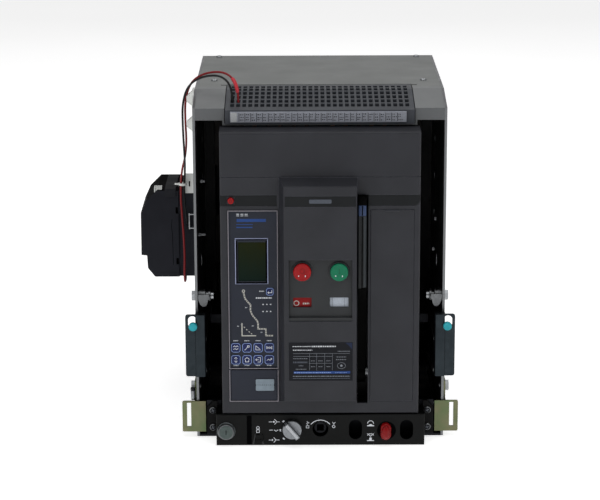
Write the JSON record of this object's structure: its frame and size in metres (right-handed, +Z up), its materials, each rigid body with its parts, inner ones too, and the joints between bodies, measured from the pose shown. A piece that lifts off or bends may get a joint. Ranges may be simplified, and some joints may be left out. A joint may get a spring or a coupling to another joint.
{
  "type": "draw-out air circuit breaker",
  "caption": "Three-pole draw-out air circuit breaker in its racking cradle, with a trip unit, charging handle, push buttons, secondary terminals and a side relay module.",
  "frame": {"origin": "centre of the four floor mounting holes, on the underside of the cradle floor", "axes": "+Z up, +X to the right seen from the front, +Y to the rear, so that the front faces -Y"},
  "size_m": [0.3296, 0.3645, 0.3737],
  "materials": {
    "side_steel": "dark coating with bare bright edges",
    "top_steel": "satin grey sheet",
    "hood_steel": "satin grey sheet",
    "zinc_steel": "zinc plated",
    "zinc_bracket": "yellow-green passivated zinc",
    "roller_steel": "turned",
    "copper": "silver plated copper",
    "insulator": "moulded compound",
    "case_plastic": "fine texture",
    "cover_plastic": "fine texture",
    "chute_plastic": "fine texture",
    "base_plastic": "satin",
    "bezel_plastic": "satin",
    "trip_plastic": "satin",
    "key_plastic": "satin",
    "screen": "dark liquid crystal window",
    "red_plastic": "gloss",
    "green_plastic": "gloss",
    "cyan_plastic": "gloss",
    "silver_plastic": "satin silver",
    "flag_plastic": "printed",
    "flag_white": "printed",
    "plate_print": "printed",
    "rail_steel": "grey powder",
    "terminal_plastic": "satin",
    "label_plastic": "printed",
    "relay_plastic": "satin",
    "strap_plastic": "satin",
    "nylon": "natural",
    "wire_red": "sleeved",
    "wire_black": "sleeved",
    "arc_steel": "plain",
    "shutter_plastic": "laminate"
  },
  "bodies": {
    "cradle": {"side_plate_left": "side_steel", "side_plate_right": "side_steel", "top_plate": "top_steel", "front_crossbar": "hood_steel", "floor_plate": "zinc_steel", "bracket_left": "zinc_bracket", "bracket_right": "zinc_bracket", "cradle_fasteners": "zinc_steel", "rear_insulator": "insulator", "main_terminals": "copper", "terminal_block": "terminal_plastic", "terminal_label_strip": "label_plastic", "secondary_fingers": "copper", "relay_cover": "relay_plastic", "relay_base": "relay_plastic", "relay_strap": "strap_plastic", "wire_black": "wire_black", "wire_red": "wire_red", "wire_mounts": "nylon", "racking_panel": "base_plastic"},
    "lead_screw": {"lead_screw": "zinc_steel"},
    "carriage": {"racking_carriage": "zinc_steel"},
    "position_knob": {"position_knob": "silver_plastic"},
    "upper_shutter": {"upper_shutter": "shutter_plastic"},
    "lower_shutter": {"lower_shutter": "shutter_plastic"},
    "release_button": {"release_button": "red_plastic"},
    "padlock_tab": {"padlock_tab": "base_plastic"},
    "key_lock": {"key_lock": "roller_steel"},
    "rail_left": {"rail_left": "rail_steel"},
    "rail_right": {"rail_right": "rail_steel"},
    "rail_button_left": {"rail_button_left": "cyan_plastic"},
    "rail_button_right": {"rail_button_right": "cyan_plastic"},
    "guide_roller_left": {"guide_roller_left": "roller_steel"},
    "guide_roller_right": {"guide_roller_right": "roller_steel"},
    "breaker": {"front_cover": "cover_plastic", "arc_chute_cover": "chute_plastic", "slide_feet": "zinc_steel", "breaker_case": "case_plastic", "control_bezel": "bezel_plastic", "nameplate": "plate_print", "accessory_cover": "cover_plastic", "trip_unit": "trip_plastic", "trip_screen": "screen", "trip_keys": "key_plastic", "mechanism_frame": "zinc_steel", "closing_spring": "arc_steel", "fixed_contacts": "copper", "finger_clusters": "copper", "current_transformers": "case_plastic", "arc_chutes": "arc_steel"},
    "on_button": {"on_button": "green_plastic"},
    "off_button": {"off_button": "red_plastic"},
    "contact_flag": {"contact_flag": "flag_plastic"},
    "charge_flag": {"charge_flag": "flag_white"},
    "trip_hatch": {"trip_hatch": "trip_plastic"},
    "reset_button": {"reset_button": "red_plastic"},
    "charging_handle": {"charging_handle": "case_plastic"},
    "cam_shaft": {"cam_shaft": "zinc_steel"},
    "main_shaft": {"main_shaft": "zinc_steel", "moving_contacts": "copper"}
  },
  "joints": [
    {"name": "racking_slide", "type": "slide", "parent": "cradle", "child": "carriage", "axis": [0, -1, 0], "range_m": [0, 0.04]},
    {"name": "lead_screw_turn", "type": "hinge", "parent": "cradle", "child": "lead_screw", "pos_m": [0, 0, 0.0173], "axis": [0, -1, 0], "range_deg": [0, 3600]},
    {"name": "position_knob_turn", "type": "hinge", "parent": "cradle", "child": "position_knob", "pos_m": [-0.0287, 0, 0.018], "axis": [0, -1, 0], "range_deg": [0, 104]},
    {"name": "upper_shutter_slide", "type": "slide", "parent": "cradle", "child": "upper_shutter", "axis": [0, 0, -1], "range_m": [0, 0.05]},
    {"name": "lower_shutter_slide", "type": "slide", "parent": "cradle", "child": "lower_shutter", "axis": [0, 0, -1], "range_m": [0, 0.05]},
    {"name": "withdrawal_slide", "type": "slide", "parent": "carriage", "child": "breaker", "axis": [0, -1, 0], "range_m": [0, 0.25]},
    {"name": "release_button_press", "type": "slide", "parent": "cradle", "child": "release_button", "axis": [0, 1, 0], "range_m": [0, 0.004], "stiffness_N_per_m": 600},
    {"name": "padlock_tab_pull", "type": "slide", "parent": "cradle", "child": "padlock_tab", "axis": [0, -1, 0], "range_m": [0, 0.014]},
    {"name": "key_lock_turn", "type": "hinge", "parent": "cradle", "child": "key_lock", "pos_m": [-0.0955, 0, 0.0155], "axis": [0, 1, 0], "range_deg": [0, 90]},
    {"name": "rail_left_pull", "type": "slide", "parent": "cradle", "child": "rail_left", "axis": [0, -1, 0], "range_m": [0, 0.13]},
    {"name": "rail_right_pull", "type": "slide", "parent": "cradle", "child": "rail_right", "axis": [0, -1, 0], "range_m": [0, 0.13]},
    {"name": "rail_button_left_press", "type": "slide", "parent": "rail_left", "child": "rail_button_left", "axis": [0, 1, 0], "range_m": [0, 0.003], "stiffness_N_per_m": 600},
    {"name": "rail_button_right_press", "type": "slide", "parent": "rail_right", "child": "rail_button_right", "axis": [0, 1, 0], "range_m": [0, 0.003], "stiffness_N_per_m": 600},
    {"name": "guide_roller_left_turn", "type": "hinge", "parent": "cradle", "child": "guide_roller_left", "pos_m": [-0.118, -0.118, 0.1464], "axis": [1, 0, 0], "continuous": true},
    {"name": "guide_roller_right_turn", "type": "hinge", "parent": "cradle", "child": "guide_roller_right", "pos_m": [0.118, -0.118, 0.1464], "axis": [1, 0, 0], "continuous": true},
    {"name": "on_button_press", "type": "slide", "parent": "breaker", "child": "on_button", "axis": [0, 1, 0], "range_m": [0, 0.004], "stiffness_N_per_m": 600},
    {"name": "off_button_press", "type": "slide", "parent": "breaker", "child": "off_button", "axis": [0, 1, 0], "range_m": [0, 0.004], "stiffness_N_per_m": 600},
    {"name": "main_shaft_turn", "type": "hinge", "parent": "breaker", "child": "main_shaft", "pos_m": [0, -0.06, 0.14], "axis": [-1, 0, 0], "range_deg": [0, 14.5]},
    {"name": "contact_flag_slide", "type": "slide", "parent": "breaker", "child": "contact_flag", "axis": [0, 0, -1], "range_m": [0, 0.011]},
    {"name": "cam_shaft_turn", "type": "hinge", "parent": "breaker", "child": "cam_shaft", "pos_m": [0, -0.14, 0.072], "axis": [1, 0, 0], "range_deg": [0, 180], "deforming": ["closing_spring"]},
    {"name": "charge_flag_slide", "type": "slide", "parent": "breaker", "child": "charge_flag", "axis": [0, 0, -1], "range_m": [0, 0.011]},
    {"name": "charging_handle_pull", "type": "hinge", "parent": "breaker", "child": "charging_handle", "pos_m": [0.0416, -0.14, 0.072], "axis": [1, 0, 0], "range_deg": [0, 85], "stiffness_Nm_per_rad": 1},
    {"name": "trip_hatch_open", "type": "hinge", "parent": "breaker", "child": "trip_hatch", "pos_m": [-0.0668, -0.1598, 0.0492], "axis": [1, 0, 0], "range_deg": [0, 95]},
    {"name": "reset_button_press", "type": "slide", "parent": "breaker", "child": "reset_button", "axis": [0, 1, 0], "range_m": [0, 0.0015], "stiffness_N_per_m": 400}
  ],
  "couplings": [
    {"joint": "lead_screw_turn", "follows": "racking_slide", "rad_per_m": 1570.8},
    {"joint": "position_knob_turn", "follows": "racking_slide", "rad_per_m": 45.379},
    {"joint": "upper_shutter_slide", "follows": "racking_slide", "ratio": 1.25},
    {"joint": "lower_shutter_slide", "follows": "racking_slide", "ratio": 1.25},
    {"joint": "contact_flag_slide", "follows": "main_shaft_turn", "m_per_rad": 0.043466},
    {"joint": "charge_flag_slide", "follows": "cam_shaft_turn", "m_per_rad": 0.0035014}
  ]
}
